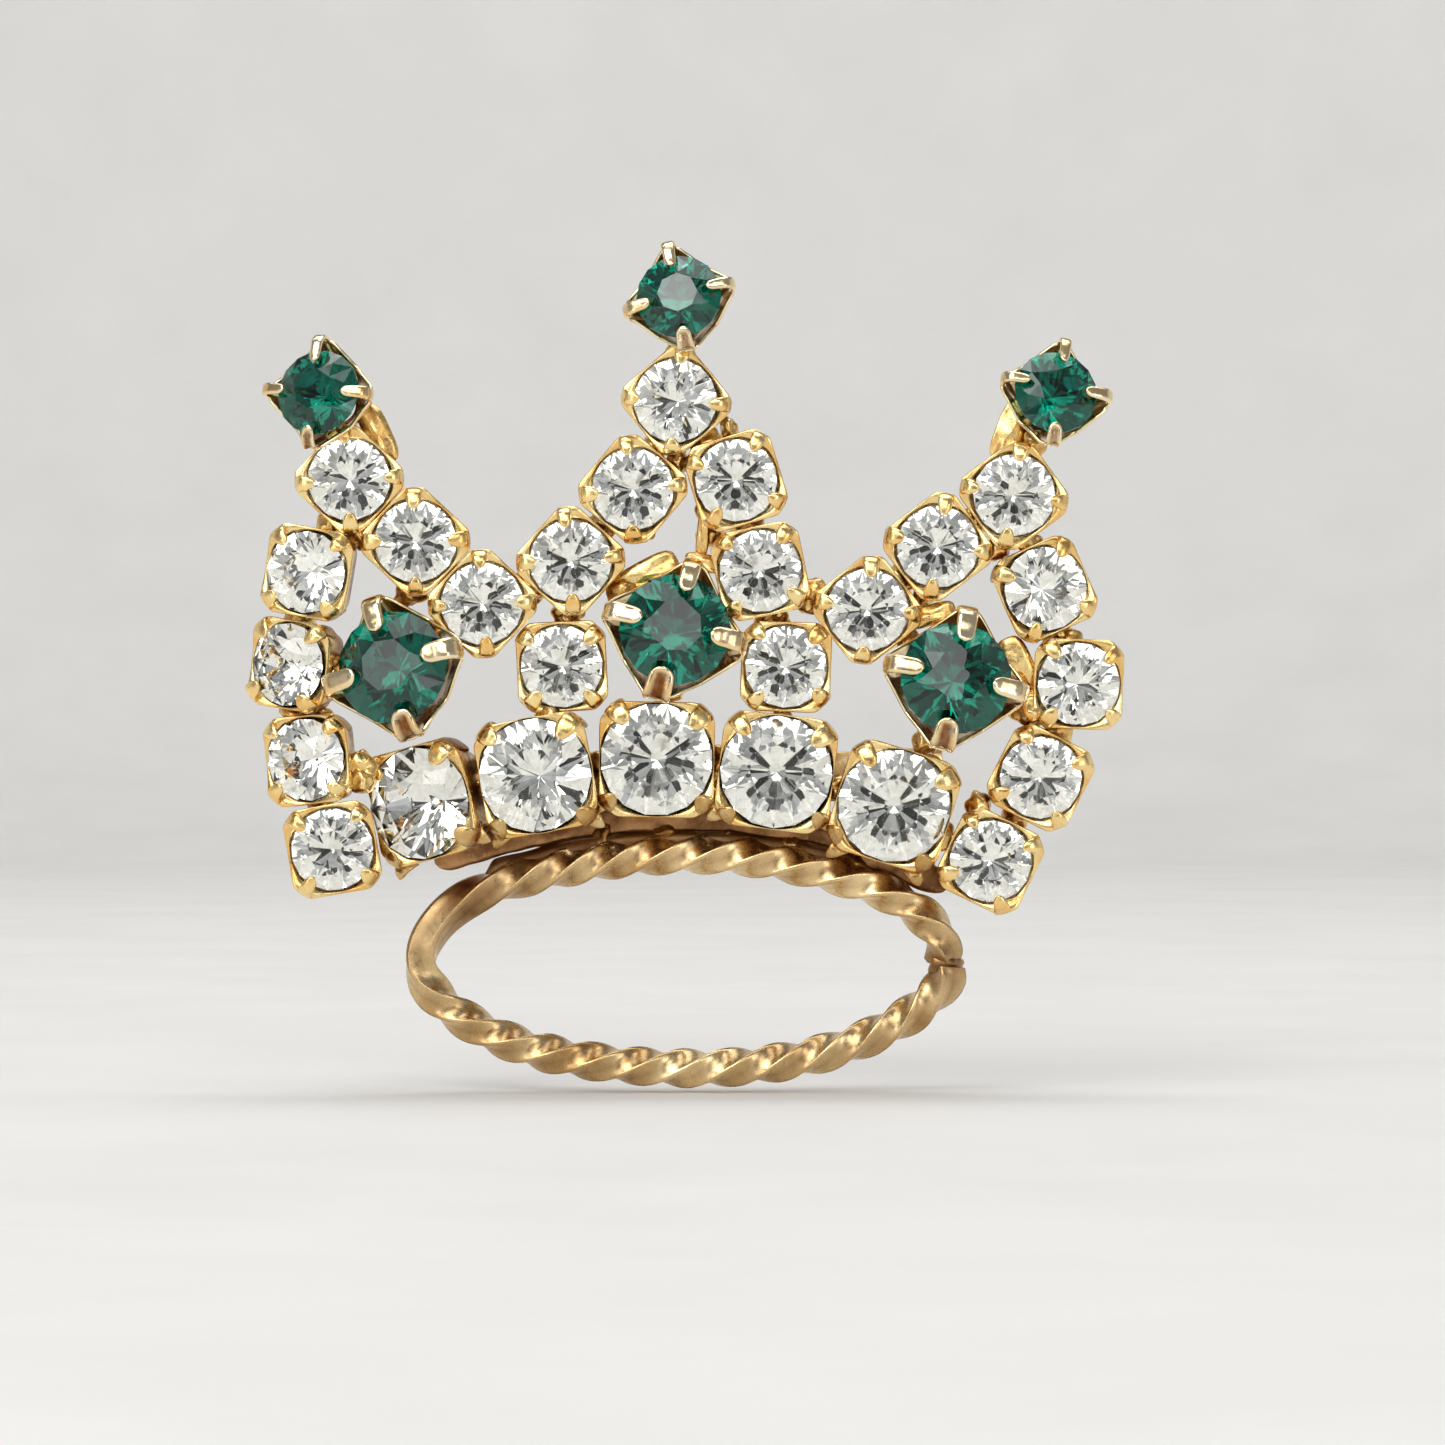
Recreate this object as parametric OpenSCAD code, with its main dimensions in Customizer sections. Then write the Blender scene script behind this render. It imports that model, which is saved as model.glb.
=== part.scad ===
// Crown brooch: square prong cups and claw settings soldered into a three-point crown,
// on a curved strip with a twisted wire ring below and a pin back behind.
//
// Millimetres. X runs across the crown, Z up to its points. The stones look to -Y and the
// pin is on the +Y side. The origin is the middle of the pin stem's straight stretch.

/* [Stones] */
// Diameter of the small clear stones
small_stone_d = 3.9; // [3.7:0.05:3.9]
// Diameter of the large clear and large green stones
large_stone_d = 5.35; // [5.1:0.05:5.35]
// Diameter of the green stones on the three points
tip_stone_d = 4; // [3.8:0.05:4]

/* [Settings] */
// Width of a small square cup
small_cup_w = 4.3; // [4.2:0.05:4.35]
// Width of a large square cup
large_cup_w = 5.5; // [5.45:0.05:5.55]
// Width of a large claw setting
large_claw_w = 4.7; // [4.4:0.1:4.8]
// Width of the claw settings on the points
tip_claw_w = 3.8; // [3.6:0.1:4]
// Thickness of the sheet that the settings are pressed from
sheet_t = 0.3; // [0.25:0.05:0.35]
// Depth of a small cup, from the stone's widest line to its back
small_cup_depth = 2.3; // [2.2:0.1:2.5]
// Depth of a large cup, from the stone's widest line to its back
large_cup_depth = 2.85; // [2.8:0.05:3]
// Depth of a large claw setting
large_claw_depth = 3.6; // [3.4:0.1:3.8]
// Depth of a claw setting on a point
tip_claw_depth = 3.2; // [3:0.1:3.4]

/* [Levels in front of the pin stem] */
// Widest line of the stones that sit in cups
cup_level = 5.35; // [5.3:0.05:5.5]
// Widest line of the large green stones
claw_level = 6.3; // [6.1:0.1:6.5]
// Widest line of the green stones on the points
tip_level = 6; // [5.8:0.1:6.2]

/* [Crown] */
// The crown's middle, across from the middle of the pin stem
crown_x = -0.8; // [-1:0.1:-0.6]

/* [Twisted ring] */
// Outer width of the ring
ring_w = 27.3; // [26.5:0.1:27.6]
// Outer height of the ring
ring_h = 12.1; // [11.5:0.1:12.3]
// Side of the square wire
wire_side = 1.35; // [1.2:0.05:1.4]
// Length of wire in a quarter turn of the twist
quarter_twist = 2.2; // [1.8:0.1:3]
// Height of the ring's centre
ring_z = -9.05; // [-9.3:0.05:-9.05]
// Level of the wire's middle in front of the pin stem
ring_level = 2.9; // [2.7:0.1:3.1]

/* [Backing strip] */
// Radius of the arc that the base cups stand on
base_arc_r = 33; // [33:0.5:34]
// Width of the strip
strip_w = 1.4; // [1.2:0.1:1.5]
// Thickness of the strip
strip_t = 0.6; // [0.5:0.1:0.8]

/* [Pin back] */
// Length of the bar
bar_length = 23; // [22.8:0.1:23.2]
// Middle of the bar, across from the middle of the pin stem
bar_x = 0.3; // [0.1:0.1:0.4]
// Height of the bar
bar_h = 2.4; // [2:0.1:2.4]
// Thickness of the bar
bar_t = 0.8; // [0.6:0.1:0.8]
// Diameter of the pin stem
stem_d = 0.8; // [0.7:0.05:0.8]
// Length of the stem's straight stretch
stem_straight = 16; // [15:0.5:16]
// Distance from the middle of the stem to the hinge rivet
hinge_x = 10; // [9.9:0.1:10.1]
// Diameter of the rivet's shank
rivet_d = 0.7; // [0.6:0.05:0.7]
// Bore of the catch housing
catch_bore = 2; // [1.9:0.1:2.1]
// Clearance on the radius of the hinge and of the turning barrel
running_gap = 0.05; // [0.03:0.01:0.08]

/* [Hidden] */
$fn = 48;
tiny = 0.02; // room left between a stone and its setting
corner_reach = 0.61; // of a cup's width, from its middle to its rounded corners
bar_back = 1.7; // level of the bar's back face
bar_front = bar_back + bar_t; // the base cups and the strip stand on this level

// The crown is laid out on its face: x across, y up, turns counterclockwise.
// A row is [name, first place, steps, turns, leans]. A step is [direction, gap]: which way the
// next cup stands from the one before it, and the room between their rims. A lean is
// [direction, angle, drop]: which way the stone faces, how steeply, and how far the setting
// stands back from its level.
UPRIGHT = [0, 0, 0];
CLOSE = 0.03; // gap between cups that stand side by side
SMALL_ROWS = [
    ["left_arm", [-16, 14.15], [[-43, CLOSE], [-43, CLOSE]], [47, 47, 47],
        [UPRIGHT, UPRIGHT, UPRIGHT]],
    ["left_side", [-18.05, 9.75], [[-102, 0.1], [-79, CLOSE], [-73, CLOSE]], [-10, -8, 6, 10],
        [[180, 16, 0.2], [180, 28, 0.6], [180, 20, 0.6], UPRIGHT]],
    ["crest", [-0.45, 17.9], [[-116, CLOSE], [-131, 0.15], [-95, 0.25]], [40, 50, 48, 3],
        [[180, 8, 0], UPRIGHT, UPRIGHT, [0, 0, 0.5]]],
    ["crest_side", [2.4, 14.1], [[-75, CLOSE], [-75, 0.1]], [17, 12, -2],
        [UPRIGHT, UPRIGHT, [0, 0, 0.3]]],
    ["right_arm", [15.6, 13.4], [[-146, 0.05], [-138, 0.15]], [36, 37, 38],
        [UPRIGHT, UPRIGHT, UPRIGHT]],
    ["right_side", [17.1, 9], [[-71, 0.1], [-112, CLOSE], [-121, 0.3]], [24, -1, -27, -26],
        [[0, 8, 0.3], [0, 4, 0.3], [0, 0, 0.3], [0, 0, 0.3]]]
];
BASE_ROW = ["base", [-12.7, -1.25], [[14, 0.05], [7, CLOSE], [-6, CLOSE], [-16, CLOSE]],
    [14, 8, -1, -7, -17], [[185, 28, 0.7], [180, 10, -0.4], UPRIGHT, UPRIGHT, UPRIGHT]];
// The claw settings, each [name, place, turn, lean]
LARGE_CLAWS = [
    ["left", [-13.9, 5.2], -29, [160, 18, 0]],
    ["centre", [-0.5, 7], 28, [75, 11, 0]],
    ["right", [12.8, 4.7], 32, [60, 11, 0]]
];
// Those on the points are each filed to fit the first cup of a row: [..., row]
TIP_CLAWS = [
    ["left_point", [-17.45, 18.25], 42, [150, 20, 0], "left_arm"],
    ["centre_point", [-0.3, 22.75], 57, [120, 14, 0], "crest"],
    ["right_point", [17.55, 18.25], 35, [60, 18, 0], "right_arm"]
];
// Neighbours soldered together across rows, each as the two settings' names and numbers
JOINS = [
    ["left_arm", 1, "left_side", 1], ["crest", 1, "crest_side", 1], ["crest", 3, "left_arm", 3],
    ["crest_side", 2, "right_arm", 3], ["right_arm", 1, "right_side", 1],
    ["crest", 4, "base", 2], ["crest_side", 3, "base", 4], ["left_side", 3, "base", 1],
    ["right_side", 4, "base", 5], ["left", 1, "left_side", 2], ["left", 1, "left_arm", 3],
    ["centre", 1, "crest", 3], ["centre", 1, "crest_side", 3],
    ["centre", 1, "base", 3], ["right", 1, "right_arm", 3], ["right", 1, "right_side", 2],
    ["right", 1, "base", 5], ["left_point", 1, "left_arm", 1], ["centre_point", 1, "crest", 1],
    ["right_point", 1, "right_arm", 1]
];

function row_named(name) = [for (r = concat(SMALL_ROWS, [BASE_ROW])) if (r[0] == name) r][0];
function numbered(row, word) = [for (i = [1:len(row[3])]) str(row[0], "_", word, "_", i)];
function joined(lists) = [for (l = lists) each l];

CUP_NODES = joined([for (r = concat(SMALL_ROWS, [BASE_ROW])) numbered(r, "cup")]);
CLAW_NODES = [for (c = concat(LARGE_CLAWS, TIP_CLAWS)) str(c[0], "_claw_setting")];
SMALL_STONE_NODES = [for (r = SMALL_ROWS) str(r[0], "_stones")];
GREEN_STONE_NODES = [for (c = concat(LARGE_CLAWS, TIP_CLAWS)) str(c[0], "_green_stone")];
BACK_NODES = ["backing_strip", "twisted_ring", "solder_joints", "pin_bar", "hinge_bracket",
    "hinge_rivet", "pin_stem", "catch_housing", "safety_barrel"];

// ---- placing ----

// Stands the laid-out face upright, looking to -Y
module on_face() translate([crown_x, 0, 0]) rotate([90, 0, 0]) children();

module leaning(lean)
    rotate([0, 0, lean[0]]) rotate([0, lean[1], 0]) rotate([0, 0, -lean[0]]) children();

module at_place(place, level, turn, lean)
    on_face() translate([place[0], place[1], level - lean[2]])
        leaning(lean) rotate([0, 0, turn]) children();

// Angle from a square's nearest side, 0 to 45
function fold(angle) = abs((angle + 405) % 90 - 45);

// Reach of a cup from its middle, at an angle to its sides: its corners are rounded off
function reach(w, angle) = let (corner = sqrt(corner_reach ^ 2 - 0.25))
    min(w * (cos(fold(angle)) / 2 + corner * sin(fold(angle))), w * corner_reach);

// Distance between two cups' middles that leaves a gap between their rims
function step_length(w, turns, step) =
    min([for (side = [turns[0], turns[0] + 90, turns[1], turns[1] + 90])
        (reach(w, side - turns[0]) + reach(w, side - turns[1]) + step[1])
            / abs(cos(side - step[0]))]);

function row_cup_w(row) = row[0] == BASE_ROW[0] ? large_cup_w : small_cup_w;
function place(row, i) = i == 0 ? row[1] : let (
        step = row[2][i - 1],
        length = step_length(row_cup_w(row), [row[3][i - 1], row[3][i]], step))
    place(row, i - 1) + length * [cos(step[0]), sin(step[0])];

module in_row(row, i) at_place(place(row, i), cup_level, row[3][i], row[4][i]) children();

module in_claw(claw, level) at_place(claw[1], level, claw[2], claw[3]) children();

// ---- stones ----

// A chaton: low crown with a flat table, thin girdle and pointed back. Its widest line is at z = 0.
module stone_shape(d, gap = 0) {
    r = d / 2 + gap;
    girdle = 0.12 + 2 * gap;
    translate([0, 0, -girdle / 2]) cylinder(r = r, h = girdle);
    translate([0, 0, girdle / 2]) cylinder(r1 = r, r2 = 0.56 * r, h = 0.18 * d);
    translate([0, 0, -girdle / 2 - 0.44 * d]) cylinder(r1 = 0.05 + gap, r2 = r, h = 0.44 * d);
}

module clear_stone(d) color([0.86, 0.89, 0.9]) stone_shape(d);

module green_stone(d) color([0.03, 0.42, 0.36]) stone_shape(d);

// ---- settings ----

// Four-sided taper with its flats square to x and y
module taper(w_back, w_front, h)
    rotate([0, 0, 45]) cylinder(h = h, r1 = w_back / sqrt(2), r2 = w_front / sqrt(2), $fn = 4);

// Prong or claw cut from strip, with its side view in the x-z plane
module strap(width, outline)
    rotate([90, 0, 0]) linear_extrude(width, center = true) polygon(outline);

// Prong of a square cup round a stone of radius r
module prong(r, grow = 0)
    strap(0.4 * r + 2 * grow, [[r, -0.6 * r], [1.28 * r + grow, -0.6 * r],
        [1.28 * r + grow, 0.06 * r], [1.16 * r + grow, 0.28 * r + grow],
        [0.82 * r - grow, 0.38 * r + grow], [0.77 * r - grow, 0.26 * r]]);

module at_corners() for (a = [45:90:315]) rotate([0, 0, a]) children();

// Outside of a square cup with its corners rounded off
module cup_blank(w, depth, grow = 0) intersection() {
    translate([0, 0, -depth - grow]) taper(0.74 * w + 2 * grow, w + 2 * grow, depth + 2 * grow);
    translate([0, 0, -depth - 1]) cylinder(r = corner_reach * w + grow, h = depth + 2);
}

module cup(w, depth, stone_d) {
    r = stone_d / 2;
    seat_z = -0.06;
    floor_z = -depth + sheet_t;
    color([0.85, 0.68, 0.35]) difference() {
        union() {
            cup_blank(w, depth);
            at_corners() prong(r);
        }
        translate([0, 0, floor_z]) cylinder(r1 = 0.3 * w, r2 = r + tiny, h = seat_z - floor_z);
        translate([0, 0, seat_z - tiny]) cylinder(r = r + tiny, h = 0.2);
        translate([0, 0, -depth - 1]) cylinder(r = 0.14 * w, h = depth);
        stone_shape(stone_d, tiny);
    }
}

// Open claw setting: a tapered square basket whose walls are scalloped between four claws
module claw_setting(w, depth, stone_d) {
    r = stone_d / 2;
    wall_top = -0.1 * w;
    outer = w / sqrt(2) - 0.08;
    claw = [[outer - 0.1 * w, -0.45 * depth], [outer, -0.45 * depth], [outer, 0.1 * w],
        [1.05 * r, 0.4 * r], [0.7 * r, 0.52 * r], [0.64 * r, 0.42 * r], [outer - 0.1 * w, 0]];
    color([0.87, 0.71, 0.4]) difference() {
        union() {
            difference() {
                translate([0, 0, -depth]) taper(0.62 * w, w, depth + wall_top);
                translate([0, 0, -depth + sheet_t])
                    taper(0.62 * w - 2 * sheet_t, w - 2 * sheet_t, depth + wall_top);
                for (a = [0, 90]) rotate([90, 0, a]) translate([0, 0.1 * w, -w])
                    cylinder(r = 0.4 * w, h = 2 * w);
            }
            at_corners() strap(0.18 * w, claw);
        }
        translate([0, 0, -depth - 1]) cylinder(r = 0.2 * w, h = depth);
        stone_shape(stone_d, tiny);
    }
}

// A claw setting on a point, filed to fit the cup below it
module point_claw_setting(claw) {
    row = row_named(claw[4]);
    difference() {
        in_claw(claw, tip_level) claw_setting(tip_claw_w, tip_claw_depth, tip_stone_d);
        in_row(row, 0) {
            cup_blank(small_cup_w, small_cup_depth, 0.03);
            at_corners() prong(small_stone_d / 2, 0.05);
            stone_shape(small_stone_d, 0.06);
        }
    }
}

// ---- strip, ring and solder ----

// Centre of the base arc on the laid-out face, below the middle base cup
base_arc_centre = place(BASE_ROW, 2) - [-0.3, base_arc_r];

strip_outer_r = base_arc_r - 2.2;
strip_inner_r = strip_outer_r - strip_w;
function strip_inner_edge(x) =
    base_arc_centre[1] + sqrt(strip_inner_r ^ 2 - (x - base_arc_centre[0]) ^ 2);

module backing_strip() {
    from = 63;
    to = 108;
    color([0.55, 0.34, 0.2]) on_face()
        translate([base_arc_centre[0], base_arc_centre[1], bar_front - strip_t])
            rotate([0, 0, from]) rotate_extrude(angle = to - from)
                translate([strip_inner_r, 0]) square([strip_w, strip_t]);
}

wire_reach = wire_side / sqrt(2); // from the wire's middle to its edges
ring_radii = [ring_w / 2 - wire_reach, ring_h / 2 - wire_reach];
ring_steps = 160;
ring_start = -4; // where the two ends of the wire meet
ring_cut = 1; // degrees left open between them

function ring_angle(i) = ring_start + ring_cut / 2 + (360 - ring_cut) * i / ring_steps;
function ring_point(i) =
    [ring_radii[0] * cos(ring_angle(i)), ring_radii[1] * sin(ring_angle(i))];
// Direction square to the wire, on the face
function ring_outward(i) =
    let (v = [ring_radii[1] * cos(ring_angle(i)), ring_radii[0] * sin(ring_angle(i))]) v / norm(v);
function ring_lengths(i = 0, sum = 0) = i == ring_steps ? [sum] :
    concat([sum], ring_lengths(i + 1, sum + norm(ring_point(i + 1) - ring_point(i))));
RING_LENGTHS = ring_lengths();
function wire_corner(i, k) =
    let (
        a = 90 * (k + RING_LENGTHS[i] / quarter_twist),
        out = wire_reach * cos(a) * ring_outward(i),
        mid = ring_point(i)
    )
    [mid[0] + out[0], mid[1] + out[1], wire_reach * sin(a)];

module twisted_ring() {
    corners = [for (i = [0:ring_steps]) for (k = [0:3]) wire_corner(i, k)];
    sides = [for (i = [0:ring_steps - 1]) for (k = [0:3])
        let (a = 4 * i + k, b = 4 * i + (k + 1) % 4) each [[a, b, a + 4], [b, b + 4, a + 4]]];
    last = 4 * ring_steps;
    color([0.72, 0.55, 0.3]) on_face() translate([0, ring_z, ring_level])
        polyhedron(points = corners,
            faces = concat([[3, 2, 1, 0]], sides, [[last, last + 1, last + 2, last + 3]]));
}

// Solder lies midway between neighbours, low down inside a row and nearer the rims across
// rows, and holds the ring to the strip
function links(row) = [for (i = [1:len(row[2])]) (place(row, i - 1) + place(row, i)) / 2];
function place_of(name, i) =
    let (claws = [for (c = concat(LARGE_CLAWS, TIP_CLAWS)) if (c[0] == name) c[1]])
    len(claws) > 0 ? claws[0] : place(row_named(name), i - 1);
function join_middle(j) = (place_of(j[0], j[1]) + place_of(j[2], j[3])) / 2;

module beads(middles, level, r)
    for (p = middles) translate([p[0], p[1], level]) sphere(r = r);

module solder_joints() color([0.8, 0.62, 0.32]) on_face() {
    beads(joined([for (r = concat(SMALL_ROWS, [BASE_ROW])) links(r)]), 3.6, 0.6);
    beads([for (j = JOINS) join_middle(j)], 4.4, 0.55);
    beads(links(BASE_ROW), bar_front + 0.4, 0.55);
    beads([for (i = [1:4]) place(BASE_ROW, i) - [0, 2.2]], bar_front + 0.1, 0.5);
    beads([for (x = [-4, -1, 2, 5, 8]) [x, strip_inner_edge(x)]], bar_front, 0.5);
}

// ---- pin back ----

module pin_bar() color([0.8, 0.66, 0.4]) translate([bar_x, 0, 0]) rotate([90, 0, 0])
    translate([0, 0, bar_back]) {
    straight = bar_length - bar_h;
    translate([-straight / 2, -bar_h / 2, 0]) cube([straight, bar_h, bar_t]);
    for (s = [-1, 1]) translate([s * straight / 2, 0, 0]) cylinder(d = bar_h, h = bar_t);
}

eye_h = 0.9; // height of the stem's eye
ear_gap = 1; // between the bracket's ears
ear_t = 0.4;
ear_r = 1;
bracket_h = ear_gap + 2 * ear_t;

module hinge_bracket() color([0.8, 0.66, 0.4]) difference() {
    union() {
        for (s = [-1, 1]) translate([-hinge_x, 0, s * (ear_gap + ear_t) / 2]) {
            cylinder(r = ear_r, h = ear_t, center = true);
            translate([-ear_r, -bar_back, -ear_t / 2]) cube([2 * ear_r, bar_back, ear_t]);
        }
        translate([-hinge_x - ear_r, -bar_back, -bracket_h / 2]) cube([2 * ear_r, 0.3, bracket_h]);
    }
    translate([-hinge_x, 0, -bracket_h]) cylinder(d = rivet_d, h = 2 * bracket_h);
}

module hinge_rivet() color([0.83, 0.7, 0.45]) translate([-hinge_x, 0, 0]) {
    cylinder(d = rivet_d, h = bracket_h, center = true);
    for (s = [-1, 1]) translate([0, 0, s * (bracket_h / 2 + 0.12)])
        cylinder(d = rivet_d + 0.5, h = 0.24, center = true);
}

// Round bar along x from x0 to x1
module along_x(x0, x1, r0, r1)
    translate([x0, 0, 0]) rotate([0, 90, 0]) cylinder(r1 = r0, r2 = r1, h = x1 - x0);

stem_root_r = 0.46; // the stem thickens towards its eye
stem_point = 4; // length of the stem's taper
point_r = 0.1;

module pin_stem() color([0.75, 0.75, 0.76]) difference() {
    union() {
        translate([-hinge_x, 0, 0]) cylinder(r = 0.85, h = eye_h, center = true);
        along_x(-hinge_x + 0.5, -stem_straight / 2, stem_root_r, stem_d / 2);
        along_x(-stem_straight / 2, stem_straight / 2, stem_d / 2, stem_d / 2);
        along_x(stem_straight / 2, stem_straight / 2 + stem_point, stem_d / 2, point_r);
        translate([stem_straight / 2 + stem_point, 0, 0]) sphere(r = point_r);
    }
    translate([-hinge_x, 0, -eye_h]) cylinder(d = rivet_d + 2 * running_gap, h = 2 * eye_h);
}

catch_x = 8.7; // near end of the catch housing
catch_length = 2.4;
catch_slot = 0.95; // the stem swings in through this
barrel_end_t = 0.35;

module slot_to_back(x0, x1) translate([x0, 0, -catch_slot / 2]) cube([x1 - x0, 4, catch_slot]);

module catch_housing() color([0.8, 0.66, 0.4]) difference() {
    union() {
        along_x(catch_x, catch_x + catch_length, catch_bore / 2 + 0.35, catch_bore / 2 + 0.35);
        translate([catch_x, -bar_back, -0.9]) cube([catch_length, bar_back, 1.8]);
    }
    along_x(catch_x - 1, catch_x + catch_length + 1, catch_bore / 2, catch_bore / 2);
    slot_to_back(catch_x - 1, catch_x + catch_length + 1);
}

// Shown open, with its slot in line with the housing's. It turns about the stem to lock it in.
module safety_barrel() {
    barrel_r = catch_bore / 2 - running_gap;
    collar_r = catch_bore / 2 + 0.2;
    near = catch_x - running_gap;
    far = catch_x + catch_length + running_gap;
    color([0.83, 0.7, 0.45]) difference() {
        union() {
            along_x(near - barrel_end_t, far + barrel_end_t, barrel_r, barrel_r);
            along_x(near - barrel_end_t, near, collar_r, collar_r);
            along_x(far, far + barrel_end_t + 0.1, collar_r, collar_r);
            translate([far, -0.5, 0.5]) cube([barrel_end_t + 0.1, 1, 1.9]);
        }
        along_x(near - 1, far + 1, 0.5, 0.5);
        slot_to_back(near - 1, far + 1);
    }
}

// ---- nodes ----

for (row = SMALL_ROWS) for (i = [0:len(row[2])])
    in_row(row, i) cup(small_cup_w, small_cup_depth, small_stone_d);
for (i = [0:len(BASE_ROW[2])])
    in_row(BASE_ROW, i) cup(large_cup_w, large_cup_depth, large_stone_d);
for (claw = LARGE_CLAWS)
    in_claw(claw, claw_level) claw_setting(large_claw_w, large_claw_depth, large_stone_d);
for (claw = TIP_CLAWS)
    point_claw_setting(claw);
for (row = SMALL_ROWS)
    for (i = [0:len(row[2])]) in_row(row, i) clear_stone(small_stone_d);
for (i = [0:len(BASE_ROW[2])])
    in_row(BASE_ROW, i) clear_stone(large_stone_d);
for (claw = LARGE_CLAWS)
    in_claw(claw, claw_level) green_stone(large_stone_d);
for (claw = TIP_CLAWS)
    in_claw(claw, tip_level) green_stone(tip_stone_d);
backing_strip();
twisted_ring();
solder_joints();
pin_bar();
hinge_bracket();
hinge_rivet();
pin_stem();
catch_housing();
safety_barrel();
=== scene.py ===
"""Looks for the crown brooch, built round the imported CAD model. Metres, in the model's own frame."""

import math
import random

import bmesh
import bpy
import numpy as np
from mathutils import Matrix, Vector, noise


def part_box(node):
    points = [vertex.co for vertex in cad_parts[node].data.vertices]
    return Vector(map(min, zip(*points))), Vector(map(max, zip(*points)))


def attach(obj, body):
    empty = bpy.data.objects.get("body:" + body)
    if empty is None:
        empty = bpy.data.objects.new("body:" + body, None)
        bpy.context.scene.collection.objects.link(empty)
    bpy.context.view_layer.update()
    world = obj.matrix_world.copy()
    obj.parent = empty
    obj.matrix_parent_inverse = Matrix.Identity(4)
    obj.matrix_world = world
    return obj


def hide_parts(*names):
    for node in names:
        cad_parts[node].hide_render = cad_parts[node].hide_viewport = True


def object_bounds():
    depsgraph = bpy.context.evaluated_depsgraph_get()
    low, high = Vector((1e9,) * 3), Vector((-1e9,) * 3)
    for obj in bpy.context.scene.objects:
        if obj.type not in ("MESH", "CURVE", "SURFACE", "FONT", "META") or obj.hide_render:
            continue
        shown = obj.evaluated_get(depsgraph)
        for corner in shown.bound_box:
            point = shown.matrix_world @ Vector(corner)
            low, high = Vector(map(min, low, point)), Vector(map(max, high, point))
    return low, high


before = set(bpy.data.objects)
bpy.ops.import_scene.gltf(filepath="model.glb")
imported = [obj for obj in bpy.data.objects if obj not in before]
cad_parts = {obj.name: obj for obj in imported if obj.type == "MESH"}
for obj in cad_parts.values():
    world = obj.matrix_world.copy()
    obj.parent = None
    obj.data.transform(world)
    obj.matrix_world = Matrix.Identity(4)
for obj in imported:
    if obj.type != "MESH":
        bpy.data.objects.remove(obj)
cad_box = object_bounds()

MM = 0.001
SMALL_ROWS = {"left_arm": 3, "left_side": 4, "crest": 4, "crest_side": 3, "right_arm": 3,
              "right_side": 4}
BASE_CUPS = 5
LARGE_CLAWS = ("left", "centre", "right")
POINT_CLAWS = ("left_point", "centre_point", "right_point")
FIXED = "crown"


# ---- materials ----

class Nodes:
    """Adds shader nodes to one material, each linked from the values it is given."""

    def __init__(self, name):
        self.material = bpy.data.materials.new(name)
        self.material.use_nodes = True
        self.tree = self.material.node_tree
        self.shader = self.tree.nodes["Principled BSDF"]

    def add(self, kind, sets=None, **links):
        node = self.tree.nodes.new(kind)
        for key, value in (sets or {}).items():
            setattr(node, key, value)
        for key, value in links.items():
            self.put(node.inputs[key.replace("_", " ")], value)
        return node

    def put(self, socket, value):
        if isinstance(value, bpy.types.NodeSocket):
            self.tree.links.new(value, socket)
        else:
            socket.default_value = value

    def set(self, **values):
        for key, value in values.items():
            self.put(self.shader.inputs[key.replace("_", " ")], value)

    def noise(self, scale, detail=3.0, rough=0.55, stretch=None):
        place = self.tree.nodes.new("ShaderNodeTexCoord").outputs["Object"]
        if stretch:
            place = self.add("ShaderNodeMapping", Vector=place, Scale=stretch).outputs["Vector"]
        return self.add("ShaderNodeTexNoise", Vector=place, Scale=scale, Detail=detail,
                        Roughness=rough).outputs["Fac"]

    def span(self, value, low, high, to_low, to_high):
        node = self.add("ShaderNodeMapRange", Value=value)
        for key, number in zip(("From Min", "From Max", "To Min", "To Max"), (low, high, to_low, to_high)):
            node.inputs[key].default_value = number
        return node.outputs["Result"]

    def blend(self, factor, a, b, mode="MIX"):
        node = self.tree.nodes.new("ShaderNodeMix")
        node.data_type, node.blend_type = "RGBA", mode
        self.put(node.inputs[0], factor)
        self.put(node.inputs[6], a)
        self.put(node.inputs[7], b)
        return node.outputs[2]

    def math(self, what, a, b=0.0):
        node = self.tree.nodes.new("ShaderNodeMath")
        node.operation, node.use_clamp = what, False
        self.put(node.inputs[0], a)
        self.put(node.inputs[1], b)
        return node.outputs[0]

    def mask(self):
        # The vertex attribute read here holds painted shade mixed with some tarnish: high in recesses, on
        # back sides and between parts.
        return self.add("ShaderNodeAttribute", {"attribute_name": "tarnish"}).outputs["Fac"]

    def bump(self, height, distance, strength=1.0):
        node = self.add("ShaderNodeBump", Height=height, Distance=distance, Strength=strength)
        self.put(self.shader.inputs["Normal"], node.outputs["Normal"])


def rgb(r, g, b):
    return (r, g, b, 1.0)


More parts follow.
